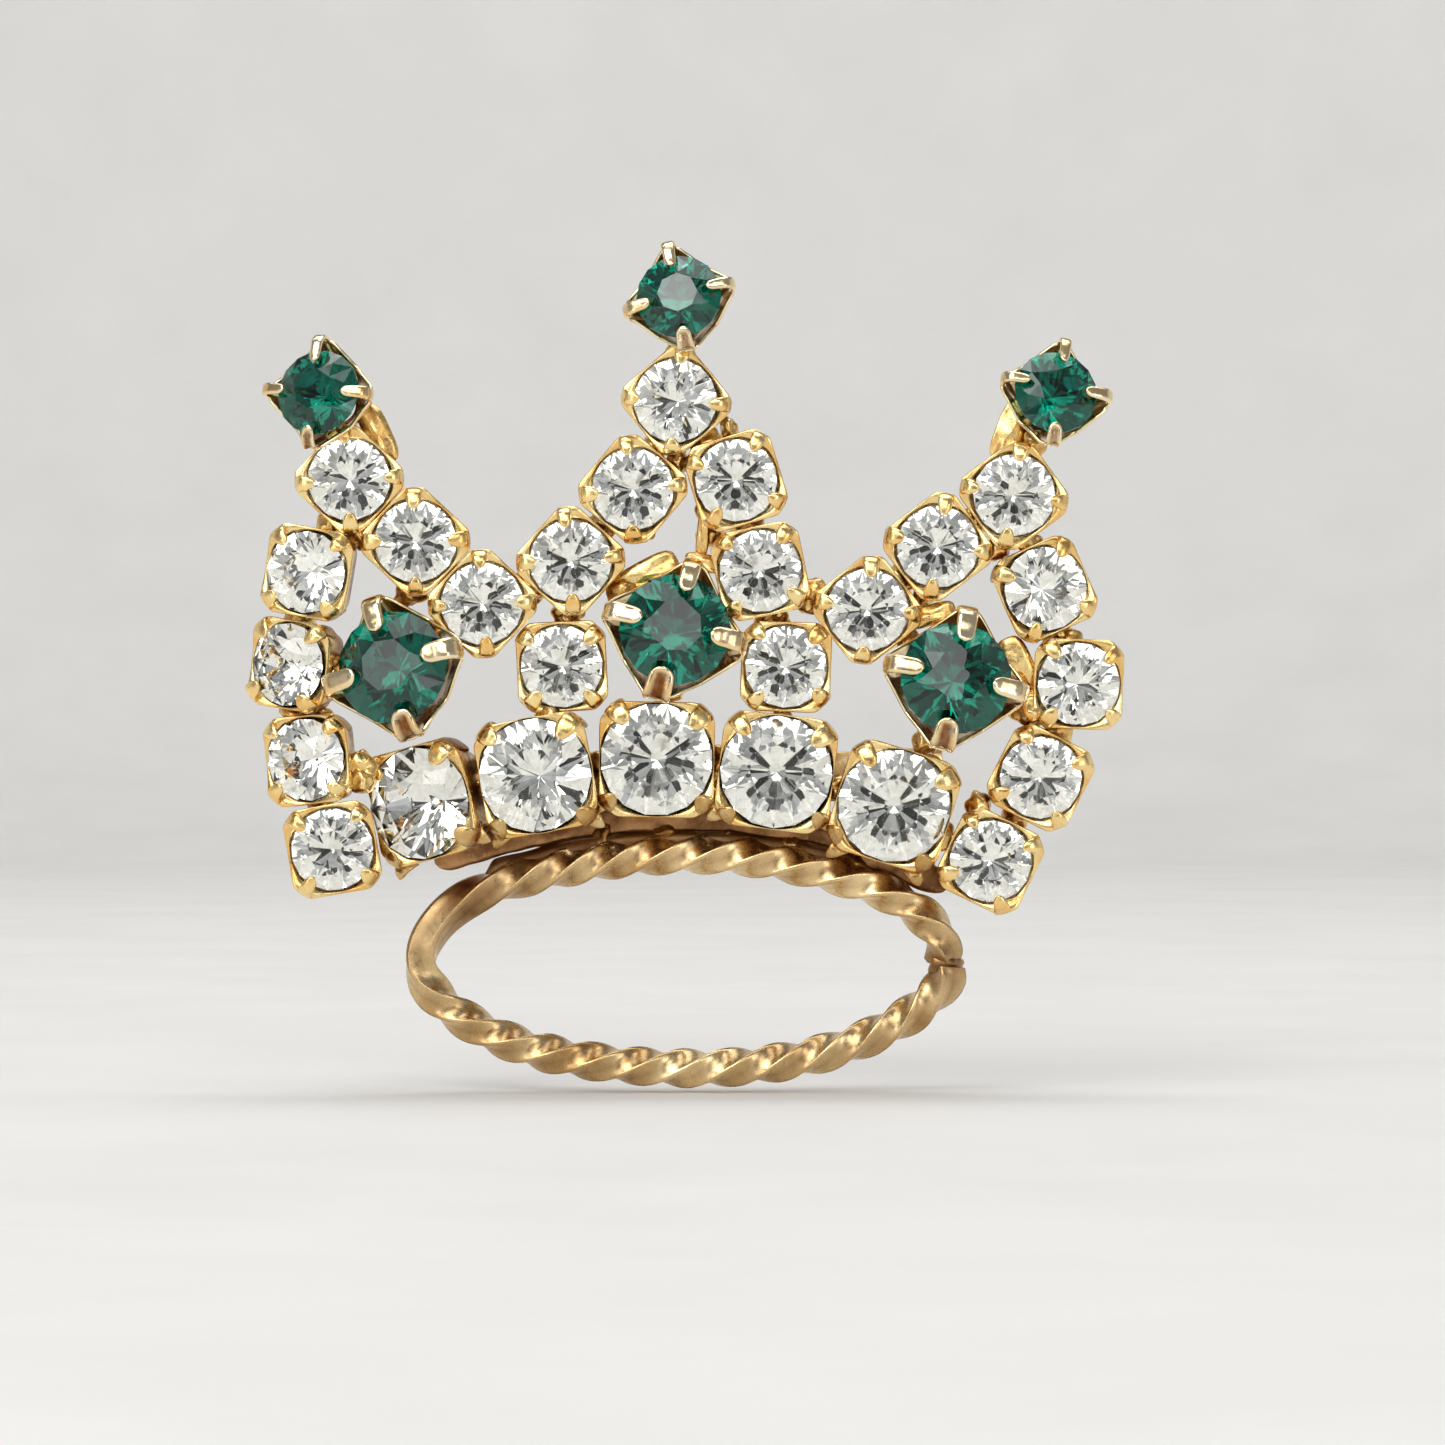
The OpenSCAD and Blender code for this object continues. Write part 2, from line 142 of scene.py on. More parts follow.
def plated_gold(name, clean, deep, brown, rough=(0.12, 0.34), dents=0.000012, scratch=0.5):
    """Gold plate in patches of clean and deep tone, turned brown where the vertex mask is high: painted
    shade in recesses, on back sides and between parts, mixed with tarnish.
    """
    m = Nodes(name)
    patches = m.noise(650, 4)
    fine = m.noise(5200, 3)
    lines = m.noise(2600, 2, stretch=(1, 1, 9))
    colour = m.blend(m.span(patches, 0.42, 0.66, 0, 1), rgb(*clean), rgb(*deep))
    shade_and_tarnish_amount = m.math("MULTIPLY", m.mask(), m.span(patches, 0.3, 0.62, 0.55, 1.0))
    colour = m.blend(shade_and_tarnish_amount, colour, rgb(*brown))
    m.set(Base_Color=colour, Metallic=1.0)
    roughness = m.span(fine, 0.35, 0.7, rough[0], rough[1])
    roughness = m.math("ADD", roughness, m.math("MULTIPLY", shade_and_tarnish_amount, 0.16))
    m.set(Roughness=roughness)
    height = m.math("ADD", m.noise(1500, 2), m.math("MULTIPLY", lines, 0.25 * scratch))
    m.bump(m.math("ADD", height, m.math("MULTIPLY", fine, 0.18)), dents)
    return m.material


def aged_wire():
    """Dull brushed gold of the twisted wire, with drawn lines along it and brown in its grooves and on its
    back: painted shade, mixed with tarnish.
    """
    m = Nodes("aged_wire")
    patches = m.noise(260, 5, 0.6)
    fine = m.noise(3800, 4, 0.6)
    colour = m.blend(m.span(patches, 0.38, 0.66, 0, 1), rgb(0.88, 0.66, 0.35), rgb(0.52, 0.31, 0.12))
    shade_and_tarnish_amount = m.math("MULTIPLY", m.mask(), m.span(patches, 0.25, 0.6, 0.65, 1.0))
    colour = m.blend(shade_and_tarnish_amount, colour, rgb(0.2, 0.09, 0.034))
    m.set(Base_Color=colour, Metallic=1.0)
    m.set(Roughness=m.math("ADD", m.span(fine, 0.3, 0.7, 0.16, 0.34), m.math("MULTIPLY", shade_and_tarnish_amount, 0.15)))
    m.bump(m.math("ADD", m.math("MULTIPLY", fine, 0.6), m.math("MULTIPLY", m.noise(1100, 3), 0.5)), 0.000012)
    return m.material


def copper_strip():
    m = Nodes("copper_strip")
    patches = m.noise(520, 5, 0.62)
    fine = m.noise(4600, 4)
    colour = m.blend(m.span(patches, 0.4, 0.6, 0, 1), rgb(0.52, 0.28, 0.12), rgb(0.22, 0.1, 0.04))
    colour = m.blend(m.span(fine, 0.6, 0.75, 0, 0.6), colour, rgb(0.66, 0.42, 0.2))
    m.set(Base_Color=colour, Metallic=1.0, Roughness=m.span(patches, 0.3, 0.7, 0.3, 0.55))
    m.bump(m.math("ADD", m.noise(1300, 4), m.math("MULTIPLY", fine, 0.3)), 0.00003)
    return m.material


def steel():
    m = Nodes("stem_steel")
    lines = m.noise(2400, 3, stretch=(0.04, 1, 1))
    patches = m.noise(420, 3)
    m.set(Base_Color=m.blend(m.span(patches, 0.4, 0.7, 0, 1), rgb(0.72, 0.71, 0.69), rgb(0.55, 0.53, 0.5)),
          Metallic=1.0, Roughness=m.span(lines, 0.3, 0.7, 0.16, 0.36))
    m.bump(lines, 0.000006)
    return m.material


def glass(name, tint, ior=1.56):
    """The polished front of a stone."""
    m = Nodes(name)
    smear = m.noise(900, 3)
    m.set(Base_Color=rgb(*tint), IOR=ior, Roughness=m.span(smear, 0.55, 0.8, 0.0, 0.03))
    m.shader.inputs["Transmission Weight"].default_value = 1.0
    m.bump(m.noise(700, 1), 0.0000015)
    return m.material


def foil(name, light, dark):
    """The mirror backing of a stone, seen through its front and from behind."""
    m = Nodes(name)
    spots = m.noise(1500, 4)
    m.set(Base_Color=m.blend(m.span(spots, 0.45, 0.75, 0, 1), rgb(*light), rgb(*dark)), Metallic=1.0,
          Roughness=m.span(spots, 0.4, 0.75, 0.02, 0.08))
    return m.material


CUP_GOLD = plated_gold("cup_gold", (1.0, 0.76, 0.35), (0.9, 0.53, 0.16), (0.2, 0.07, 0.018))
CLAW_GOLD = plated_gold("claw_gold", (1.0, 0.84, 0.54), (0.95, 0.67, 0.33), (0.22, 0.075, 0.02),
                        rough=(0.08, 0.24))
SOLDER = plated_gold("solder_gold", (1.0, 0.73, 0.3), (0.8, 0.42, 0.11), (0.18, 0.065, 0.018),
                     rough=(0.14, 0.38), dents=0.00003)
BACK_GOLD = plated_gold("pin_back_gold", (0.93, 0.72, 0.38), (0.8, 0.57, 0.26), (0.36, 0.19, 0.08),
                        rough=(0.2, 0.4), scratch=1.6)
AGED_WIRE = aged_wire()
COPPER = copper_strip()
STEEL = steel()
CLEAR_FRONT = glass("clear_front", (1.0, 1.0, 0.985))
CLEAR_FOIL = foil("clear_foil", (0.98, 0.98, 0.955), (0.85, 0.84, 0.78))
GREEN_FRONT = glass("green_front", (0.002, 0.145, 0.122))
GREEN_FOIL = foil("green_foil", (0.45, 0.85, 0.74), (0.2, 0.6, 0.5))


# ---- meshes ----

class Mesh:
    """Gathers vertices in mm, each with a value of painted shade mixed with tarnish, and faces with a
    material number.
    """

    def __init__(self):
        self.points, self.tarnish, self.faces, self.kinds = [], [], [], []

    def add(self, points, faces, tarnish=0.0, kind=0, place=None):
        start = len(self.points)
        for p in points:
            self.points.append(place @ Vector(p) if place else Vector(p))
        values = tarnish if hasattr(tarnish, "__len__") else [tarnish] * len(points)
        self.tarnish.extend(values)
        self.faces.extend([tuple(start + i for i in f) for f in faces])
        self.kinds.extend([kind] * len(faces))

    def object(self, name, materials, smooth=True):
        me = bpy.data.meshes.new(name)
        me.from_pydata([p * MM for p in self.points], [], self.faces)
        me.attributes.new("tarnish", "FLOAT", "POINT").data.foreach_set("value", self.tarnish)
        for m in materials:
            me.materials.append(m)
        me.polygons.foreach_set("material_index", self.kinds)
        me.polygons.foreach_set("use_smooth", [smooth] * len(me.polygons))
        me.update()
        o = bpy.data.objects.new(name, me)
        bpy.context.scene.collection.objects.link(o)
        return o


def grid_faces(rows, columns, wrap_rows, wrap_columns):
    """Quads of a grid whose point number is row * columns + column, facing out when rows turn left."""
    faces = []
    for i in range(rows if wrap_rows else rows - 1):
        for j in range(columns if wrap_columns else columns - 1):
            a, b = i * columns + j, i * columns + (j + 1) % columns
            c, d = (i + 1) % rows * columns + (j + 1) % columns, (i + 1) % rows * columns + j
            faces.append((a, b, c, d))
    return faces


def tube_faces(rings, around, inward=False):
    """Faces of a closed tube: its side and its two flat ends. inward turns them all over."""
    faces = grid_faces(rings, around, False, True)
    faces.append(tuple(reversed(range(around))))
    faces.append(tuple(range((rings - 1) * around, rings * around)))
    return [tuple(reversed(f)) for f in faces] if inward else faces


def rounded(c, s, power):
    """Factor that turns a circle's cosine and sine into a square with round corners."""
    return (abs(c) ** power + abs(s) ** power) ** (-1 / power)


def from_side(angle):
    """Angle from the middle of a square's nearest side, up to an eighth of a turn."""
    return abs((angle + math.pi / 4) % (math.pi / 2) - math.pi / 4)


def square_radius(angle, half, corner):
    """Distance from the middle to a rounded square's outline."""
    a = from_side(angle)
    flat = half / math.cos(a)
    if half * math.tan(a) <= half - corner:
        return flat
    c = half - corner
    along = c * (math.cos(a) + math.sin(a))
    return along + math.sqrt(max(corner ** 2 - 2 * c * c + along ** 2, 0.0))


def smoothstep(x):
    x = min(max(x, 0.0), 1.0)
    return x * x * (3 - 2 * x)


def spline(points, n):
    """n + 1 points along a Catmull-Rom curve through the given ones."""
    p = [np.array(q, float) for q in points]
    p = [2 * p[0] - p[1]] + p + [2 * p[-1] - p[-2]]
    out = []
    for k in range(n + 1):
        t = k / n * (len(p) - 3)
        i = min(int(t), len(p) - 4)
        u = t - i
        a, b, c, d = p[i:i + 4]
        out.append(0.5 * (2 * b + (c - a) * u + (2 * a - 5 * b + 4 * c - d) * u * u
                          + (3 * b - a - 3 * c + d) * u ** 3))
    return out


def tongue(path, widths, thick, turn, rng, tip=0.45, round_power=2.6, steps=26, around=18, channel=0.0):
    """A bent prong: a rounded strip swept along path, pairs of radius and height, with a round tip.

    channel hollows its outer face along the middle. Returns points, faces and the hollow at each point.
    """
    line = spline(path, steps)
    lengths = np.cumsum([0] + [np.linalg.norm(line[i + 1] - line[i]) for i in range(steps)])
    total = lengths[-1]
    sway, roll = rng.uniform(-0.06, 0.06), rng.uniform(-0.12, 0.12)
    points, channel_shade = [], []
    for i, p in enumerate(line):
        q = line[min(i + 1, steps)] - line[max(i - 1, 0)]
        q = q / np.linalg.norm(q)
        normal = np.array([q[1], -q[0]])
        s = lengths[i] / total
        w = np.interp(s, [0, 0.35, 0.7, 1], widths) / 2
        t = np.interp(s, [0, 0.4, 0.8, 1], thick) / 2
        left = (total - lengths[i]) / tip
        if left < 1:
            k = math.sqrt(max(1 - (1 - left) ** 2, 0.0)) * 0.97 + 0.03
            w, t = w * k, t * (0.35 + 0.65 * k)
        for j in range(around):
            a = 2 * math.pi * j / around
            c, d = math.cos(a), math.sin(a)
            e = rounded(c, d, round_power)
            hollow = 0.0
            if d > 0:
                hollow = channel * math.exp(-(c / 0.55) ** 4)
                hollow *= smoothstep((total - lengths[i] - 0.12) / 0.3)
            across, out = w * c * e, t * d * e * (1 - 1.2 * hollow)
            channel_shade.append(hollow)
            across += sway * s + roll * out * s
            x, z = p[0] + normal[0] * out, p[1] + normal[1] * out
            points.append((x, across, z))
    turned = Matrix.Rotation(turn, 4, "Z")
    return [turned @ Vector(p) for p in points], tube_faces(steps + 1, around), channel_shade


def depth_tarnish(points, top, bottom, low=0.0, high=1.0):
    """Painted shade that grows from the height top down to the height bottom, deeper parts darker."""
    return [low + (high - low) * smoothstep((top - p[2]) / (top - bottom)) for p in points]


def shell(profile, n):
    """Closed ring of sheet metal: profile(angle) lists radius and height round its section."""
    points = []
    for i in range(n):
        a = 2 * math.pi * i / n
        points += [(r * math.cos(a), r * math.sin(a), z) for r, z in profile(a)]
    k = len(profile(0.0))
    faces = [tuple(reversed(f)) for f in grid_faces(n, k, True, True)]
    return points, faces


def points_down(place, turn):
    """Whether a prong at this turn hangs on the lower side of its setting."""
    return (place.to_3x3() @ Vector((math.cos(turn), math.sin(turn), 0))).z < -0.3


def cup_mesh(mesh, place, w, depth, stone_r, prong, rng, n):
    """A pressed square cup with a prong bent over the stone from each corner."""
    hole, floor = 0.14 * w, -depth + 0.28
    rim_phase, wall_phase = [60 * rng.uniform(-0.03, 0.03) for _ in range(4)][:2]

    def profile(a):
        near_corner = abs(math.sin(2 * a)) ** 3
        rim = -0.12 + 0.16 * near_corner + 0.03 * math.sin(a + rim_phase)
        front = square_radius(a, 0.5 * w, 0.42 * w * 0.5)
        front = min(front, 0.604 * w)
        mid = square_radius(a, 0.455 * w, 0.3 * w * 0.5) + 0.02 * math.sin(2 * a + wall_phase)
        mid = min(mid, 0.575 * w)
        back = square_radius(a, 0.37 * w, 0.11 * w)
        inner = stone_r + 0.02
        land = max(front - 0.05, inner + 0.02)
        return [(hole, floor), (0.28 * w, floor), (0.8 * inner, 0.55 * floor), (inner, rim - 0.1),
                (inner + 0.01, rim - 0.03), (land - 0.01, rim), (land + 0.03, rim - 0.015),
                (front, rim - 0.07), (front - 0.015, rim - 0.22), (mid, -0.42 * depth),
                (0.5 * (mid + back), -0.7 * depth),
                (back + 0.04, -0.93 * depth), (back - 0.02, -0.985 * depth), (back - 0.1, -depth),
                (0.5 * (back + hole), -depth), (hole + 0.06, -depth), (hole, -depth + 0.05)]

    points, faces = shell(profile, n)
    # Painted shade: the cup wall turns browner the deeper it lies.
    mesh.add(points, faces, depth_tarnish(points, -0.02, -0.45 * depth, 0.08, 0.95), place=place)
    for k in range(4):
        s, l = rng.uniform(0.88, 1.08), rng.uniform(-0.12, 0.1)
        turn = math.pi / 4 + k * math.pi / 2 + rng.uniform(-0.09, 0.09)
        splayed = "low_path" in prong and points_down(place, turn)
        shape = prong["low_path"] if splayed else prong["path"]
        path = [(r * stone_r + (l if i > 3 else 0), z * stone_r) for i, (r, z) in enumerate(shape)]
        widths = [x * s for x in prong["widths"]]
        points, faces, _ = tongue(path, widths, prong["thick"], turn, rng, prong["tip"])
        # Painted shade: each prong browner lower down, more so on the setting's lower side, and its tail
        # brown.
        values = depth_tarnish(points, 0.3, -0.35, 0.5 if splayed else 0.0, 0.9)
        mesh.add(points, faces, values, place=place)
        if splayed:
            tail = [(r * stone_r, z) for r, z in PRONG_TAIL]
            points, faces, _ = tongue(tail, [1.1, 0.9, 0.6, 0.25], [0.3, 0.3, 0.24, 0.16],
                                      turn + rng.uniform(-0.22, 0.22), rng, 0.3)
            mesh.add(points, faces, 0.55, place=place)


def claw_mesh(mesh, place, w, depth, stone_r, claw, rng, n):
    """An open claw setting: a tapered square basket, dipping between four claws."""
    hole, floor = 0.2 * w, -depth + 0.3
    lean = [rng.uniform(-0.1, 0.1) for _ in range(4)]
    half, sheet = 1.04 * stone_r, 0.2

    def profile(a):
        c = abs(math.sin(2 * a)) ** 1.4
        rim = -0.3 * stone_r * (1 - c) - 0.22
        front = square_radius(a, half, 0.36 * half)
        belly = square_radius(a, 0.5 * (half + 0.31 * w) - 0.06, 0.2 * w)
        back = square_radius(a, 0.31 * w, 0.1 * w)
        middle = -depth + (rim + depth) * 0.48
        return [(hole, floor), (back - sheet - 0.1, floor), (belly - sheet, middle),
                (front - sheet, rim - 0.16), (front - sheet + 0.02, rim - 0.02), (front - 0.06, rim),
                (front, rim - 0.05), (front - 0.03, rim - 0.16), (belly + 0.01, middle),
                (back + 0.05, -depth + 0.16), (back, -depth + 0.05), (back - 0.08, -depth),
                (0.5 * (back + hole), -depth), (hole + 0.05, -depth), (hole, -depth + 0.05)]

    points, faces = shell(profile, n)
    # Painted shade: the basket browner the deeper it lies.
    mesh.add(points, faces, depth_tarnish(points, -0.45 * stone_r, -0.62 * depth, 0.0, 0.9), place=place)
    for k in range(4):
        turn = math.pi / 4 + k * math.pi / 2 + lean[k] * 0.7
        low = points_down(place, turn)
        l = rng.uniform(-0.15, 0.15) * stone_r / 2.7
        shape = claw["low_path" if low else "path"]
        path = [(r * stone_r + (l if i > 4 else 0), z * stone_r) for i, (r, z) in enumerate(shape)]
        s = rng.uniform(0.92, 1.1) * (1.25 if low else 1)
        widths = [x * s for x in claw["widths"]]
        points, faces, channel_shade = tongue(path, widths, claw["thick"], turn, rng, claw["tip"],
                                      2.4, 34, 20, 0.85 if low else 0.12)
        # Painted shade: each claw browner lower down, and in the hollow channel of the claws on the lower
        # side.
        shade_and_tarnish_amount = depth_tarnish(points, 0.2, -1.4, 0.0, 0.5)
        mesh.add(points, faces, [min(v + 1.3 * h, 1.0) for v, h in zip(shade_and_tarnish_amount, channel_shade)], place=place)


def stone_mesh(mesh, place, r, spin):
    """A brilliant-cut chaton: octagon table, star, kite and girdle facets, and a pointed back."""
    table_r, table_z, girdle = 0.47 * r, 0.06 + 0.33 * r, 0.05
    kite_r, kite_z = 0.74 * r, 0.06 + 0.2 * r
    low_r, low_z, culet = 0.34 * r, -0.6 * r - 0.05, -0.88 * r - 0.05

    def ring(radius, z, count, shift=0.0):
        return [(radius * math.cos(spin + 2 * math.pi * (i + shift) / count),
                 radius * math.sin(spin + 2 * math.pi * (i + shift) / count), z) for i in range(count)]

    points = ring(table_r, table_z, 8)            # 0 to 7
    points += ring(kite_r, kite_z, 8, 0.5)        # 8 to 15
    points += ring(r, girdle, 16)                 # 16 to 31
    points += ring(r, -girdle, 16)                # 32 to 47
    points += ring(low_r, low_z, 8, 0.5)          # 48 to 55
    points.append((0, 0, culet))                  # 56
    front = [tuple(range(8))]
    back = []
    for i in range(8):
        j, g = (i + 1) % 8, 16 + 2 * i
        before = 8 + (i - 1) % 8
        front.append((i, 8 + i, j))
        front.append((i, before, g, 8 + i))
        front.append((8 + i, g, g + 1))
        front.append((8 + i, g + 1, 16 + (2 * i + 2) % 16))
        h = 32 + 2 * i
        back.append((h, 48 + (i - 1) % 8, 56, 48 + i))
        back.append((h + 1, h, 48 + i))
        back.append((32 + (2 * i + 2) % 16, h + 1, 48 + i))
    for i in range(16):
        j = (i + 1) % 16
        front.append((16 + j, 16 + i, 32 + i, 32 + j))
    mesh.add(points, front, kind=0, place=place)
    start = len(mesh.points) - len(points)
    mesh.faces.extend([tuple(start + i for i in f) for f in back])
    mesh.kinds.extend([1] * len(back))


# ---- where things sit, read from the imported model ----

def node_arrays(node):
    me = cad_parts[node].data
    me.calc_loop_triangles()
    points = np.empty(len(me.vertices) * 3)
    me.vertices.foreach_get("co", points)
    triangles = np.empty(len(me.loop_triangles) * 3, int)
    me.loop_triangles.foreach_get("vertices", triangles)
    return points.reshape(-1, 3) / MM, triangles.reshape(-1, 3)


def islands(node):
    """The node's separate solids, as arrays of points and triangles."""
    points, triangles = node_arrays(node)
    keys, index = np.unique(np.round(points, 3), axis=0, return_inverse=True)
    index = index.reshape(-1)
    tri = index[triangles]
    label = np.arange(len(keys))
    while True:
        least = label[tri].min(axis=1)
        new = label.copy()
        for k in range(3):
            np.minimum.at(new, tri[:, k], least)
        if (new == label).all():
            break
        label = new
    return [(keys, tri[label[tri[:, 0]] == name]) for name in np.unique(label[tri[:, 0]])]


def stone_seat(points, triangles):
    """A stone's middle, facing direction and radius. Its table is its largest flat face."""
    a, b, c = (points[triangles[:, k]] for k in range(3))
    cross = np.cross(b - a, c - a)
    area = np.linalg.norm(cross, axis=1)
    keep = area > 1e-6
    normal = cross[keep] / area[keep, None]
    same = normal @ normal.T > 0.9993
    table = np.where(same[(same @ area[keep]).argmax()])[0]
    axis = cross[keep][table].sum(axis=0)
    axis /= np.linalg.norm(axis)
    used = np.unique(triangles)
    rim = np.unique(triangles[keep][table])
    middle = points[rim].mean(axis=0)
    offset = points[used] - middle
    away = np.linalg.norm(offset - np.outer(offset @ axis, axis), axis=1)
    radius = away.max()
    middle = middle - axis * (0.06 + 0.36 * radius)
    return middle, axis, radius


def seat_matrix(middle, axis, setting):
    """The setting's own axes: z out through the stone, its corners halfway between x and y."""
    points, _ = node_arrays(setting)
    offset = points - middle
    height = offset @ axis
    flat = offset - np.outer(height, axis)
    away = np.linalg.norm(flat, axis=1)
    side = np.cross([0, 0, 1], axis)
    side /= np.linalg.norm(side)
    up = np.cross(axis, side)
    far = away > away.max() * 0.985
    angle = np.arctan2(flat[far] @ up, flat[far] @ side)
    corner = np.angle(np.exp(4j * angle).mean()) / 4
    x = math.cos(corner - math.pi / 4) * side + math.sin(corner - math.pi / 4) * up
    y = np.cross(axis, x)
    return Matrix(((x[0], y[0], axis[0], middle[0]), (x[1], y[1], axis[1], middle[1]),
                   (x[2], y[2], axis[2], middle[2]), (0, 0, 0, 1)))


def box_middle(node):
    low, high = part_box(node)
    return np.array((Vector(low) + Vector(high)) / 2) / MM


def finish_piece(o, nodes, body=FIXED):
    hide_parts(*nodes)
    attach(o, body)


# Prongs and claws. A path runs from root to tip as radius and height, in stone radii; low_path is
# for those on a setting's lower side. Widths, thicknesses and the tip's length are in mm.
SMALL_PRONG = {
    "path": [(1.19, -0.55), (1.235, -0.25), (1.235, 0.0), (1.16, 0.14), (1.03, 0.2), (0.93, 0.225),
             (0.85, 0.255)],
    "widths": [0.86, 0.88, 0.8, 0.58], "thick": [0.3, 0.36, 0.28, 0.2], "tip": 0.4}
LARGE_PRONG = {
    "path": [(1.17, -0.5), (1.2, -0.22), (1.2, 0.0), (1.13, 0.12), (1.01, 0.18), (0.91, 0.2),
             (0.83, 0.23)],
    "low_path": [(1.15, -0.5), (1.2, -0.25), (1.21, -0.02), (1.14, 0.08), (1.08, 0.12), (1.02, 0.15),
                 (0.98, 0.17)],
    "widths": [1.05, 1.1, 0.98, 0.74], "thick": [0.34, 0.4, 0.3, 0.22], "tip": 0.5}
# Stub that spreads from the root of a large cup's lower prong: radius in stone radii, height in mm
PRONG_TAIL = [(1.12, -0.85), (1.24, -0.5), (1.36, -0.42), (1.5, -0.6)]
LARGE_CLAW = {
    "path": [(0.84, -0.95), (1.0, -0.62), (1.2, -0.2), (1.26, 0.06), (1.15, 0.25), (0.98, 0.31),
             (0.8, 0.34), (0.63, 0.4)],
    "low_path": [(0.84, -0.95), (1.0, -0.62), (1.2, -0.2), (1.3, 0.06), (1.22, 0.24), (1.08, 0.31),
                 (0.94, 0.34), (0.82, 0.38)],
    "widths": [0.8, 1.0, 0.98, 0.84], "thick": [0.26, 0.36, 0.36, 0.24], "tip": 0.55}
POINT_CLAW = {
    "path": [(0.84, -0.95), (1.02, -0.6), (1.22, -0.2), (1.29, 0.08), (1.17, 0.26), (0.98, 0.32),
             (0.83, 0.35), (0.69, 0.4)],
    "low_path": [(0.84, -0.95), (1.02, -0.6), (1.22, -0.2), (1.31, 0.08), (1.2, 0.26), (1.05, 0.31),
                 (0.93, 0.34), (0.84, 0.37)],
    "widths": [0.7, 0.7, 0.6, 0.46], "thick": [0.24, 0.32, 0.3, 0.2], "tip": 0.36}
# How each kind of setting is made: function, width, depth, prong or claw, points round the wall
SETTINGS = {"small": (cup_mesh, 4.3, 2.3, SMALL_PRONG, 112),
            "large": (cup_mesh, 5.5, 2.85, LARGE_PRONG, 128),
            "claw": (claw_mesh, 4.7, 3.6, LARGE_CLAW, 160),
            "point": (claw_mesh, 3.8, 3.2, POINT_CLAW, 136)}


# ---- cups, claw settings and stones ----

def add_setting(node, seat, kind):
    """Makes one setting round its stone's seat and returns its place."""
    middle, axis, radius = seat
    place = seat_matrix(middle, axis, node)
    make, w, depth, bent, around = SETTINGS[kind]
    mesh = Mesh()
    make(mesh, place, w, depth, radius, bent, random.Random(node), around)
    gold, slot = (CUP_GOLD, "cup_gold") if make is cup_mesh else (CLAW_GOLD, "claw_gold")
    finish_piece(mesh.object(node + "_sheet", [gold]), [node])
    return place


def add_stones(node, seats, green):
    """Makes a node's stones, each a little askew in its seat."""
    mesh = Mesh()
    rng = random.Random(node)
    askew = 0.035
    for place, radius in seats:
        tip = Matrix.Rotation(rng.uniform(-askew, askew), 4, "X")
        roll = Matrix.Rotation(rng.uniform(-askew, askew), 4, "Y")
        stone_mesh(mesh, place @ (tip @ roll), radius, rng.uniform(0, math.pi / 4))
    glasses = [GREEN_FRONT, GREEN_FOIL] if green else [CLEAR_FRONT, CLEAR_FOIL]
    finish_piece(mesh.object(node + "_cut", glasses, smooth=False), [node])


for row, count in SMALL_ROWS.items():
    seats = [stone_seat(*s) for s in islands(row + "_stones")]
    placed = []
    for i in range(count):
        node = f"{row}_cup_{i + 1}"
        seat = min(seats, key=lambda s: np.linalg.norm(s[0] - box_middle(node)))
        place = add_setting(node, seat, "small")
        placed.append((place, seat[2]))
    add_stones(row + "_stones", placed, False)
for i in range(1, BASE_CUPS + 1):
    seat = stone_seat(*islands(f"base_stone_{i}")[0])
    place = add_setting(f"base_cup_{i}", seat, "large")
    add_stones(f"base_stone_{i}", [(place, seat[2])], False)
for names, kind in ((LARGE_CLAWS, "claw"), (POINT_CLAWS, "point")):
    for name in names:
        seat = stone_seat(*islands(name + "_green_stone")[0])
        place = add_setting(name + "_claw_setting", seat, kind)
        add_stones(name + "_green_stone", [(place, seat[2])], True)


# ---- solder ----

def lump(mesh, middle, size, rng, tarnish=0.35):
    """An irregular flow of solder."""
    seed = Vector((rng.uniform(0, 50), rng.uniform(0, 50), rng.uniform(0, 50)))
    stretch = Vector([rng.uniform(0.85, 1.25) for _ in range(3)])
    rows, columns = 22, 30
    points, values = [], []
    for i in range(rows + 1):
        for j in range(columns):
            a, b = math.pi * i / rows, 2 * math.pi * j / columns
            d = Vector((math.sin(a) * math.cos(b), math.sin(a) * math.sin(b), math.cos(a)))
            n = noise.noise(d * 1.3 + seed) * 0.42 + noise.noise(d * 2.6 + seed) * 0.08
            k = size * (1 + n)
            points.append(Vector(middle) + Vector((d.x * stretch.x, d.y * stretch.y, d.z * stretch.z)) * k)
            # Painted shade: the solder browner where its surface dips in.
            values.append(min(max(tarnish - n * 1.2, 0.0), 0.9))
    faces = [tuple(reversed(f)) for f in grid_faces(rows + 1, columns, False, True)]
    mesh.add(points, faces, values)


def plate(mesh, middle, long, wide, angle, thick, tarnish, bow=0.12):
    """A small bent piece of sheet gold facing the front, its length turned by angle from level."""
    rows, columns = 20, 28
    points = []
    turn = Matrix.Rotation(-angle, 4, "Y")
    for i in range(rows + 1):
        for j in range(columns):
            a, b = math.pi * i / rows, 2 * math.pi * j / columns
            x, z = math.sin(a) * math.cos(b), math.sin(a) * math.sin(b)
            x, z = (math.copysign(abs(v) ** 0.6, v) for v in (x, z))
            y = -math.cos(a) * thick + bow * (x * x + 0.5 * z * z)
            y += 0.16 * noise.noise(Vector((x * 1.5 + middle[0], z * 1.5, middle[2])))
            points.append(turn @ Vector((x * long, y, z * wide)) + Vector(middle))
    faces = grid_faces(rows + 1, columns, False, True)
    mesh.add(points, faces, tarnish)


